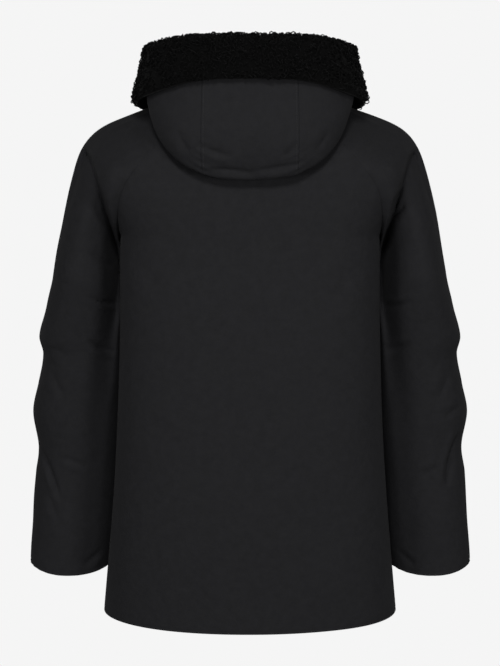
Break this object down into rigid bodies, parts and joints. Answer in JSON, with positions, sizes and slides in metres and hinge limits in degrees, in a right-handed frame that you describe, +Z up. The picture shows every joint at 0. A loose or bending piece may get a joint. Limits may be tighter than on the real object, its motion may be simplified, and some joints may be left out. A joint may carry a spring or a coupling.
{
  "type": "parka",
  "caption": "Hip-length hooded parka with raglan sleeves, a lowered three-panel hood edged with a folded fleece band, and a front zip; hollow, as worn.",
  "frame": {"origin": "middle of the neck, level with the shoulder points, where the wearer's shoulders carry the parka", "axes": "+Z up along the body, -Y towards the front with the zip, +X to the wearer's left"},
  "size_m": [0.656, 0.3409, 0.8505],
  "materials": {
    "shell_cloth": "matte tightly woven polyester shell with a soft dull sheen",
    "fleece": "curly high-pile fleece, fully matte",
    "zip_tape": "woven polyester tape",
    "zip_metal": "black painted zinc, semi-gloss"
  },
  "bodies": {
    "parka": {"back": "shell_cloth", "front_left": "shell_cloth", "front_right": "shell_cloth", "sleeve_left": "shell_cloth", "sleeve_right": "shell_cloth", "hood_centre": "shell_cloth", "hood_side_left": "shell_cloth", "hood_side_right": "shell_cloth", "hood_trim": "fleece", "zip_tape_left": "zip_tape", "zip_tape_right": "zip_tape", "zip_slider": "zip_metal"},
    "pull": {"zip_pull": "zip_metal"}
  },
  "joints": [
    {"name": "pull_tab", "type": "hinge", "parent": "parka", "child": "pull", "pos_m": [0, -0.10229, -0.00243], "axis": [-1, 0, 0], "range_deg": [-12, 145]}
  ]
}
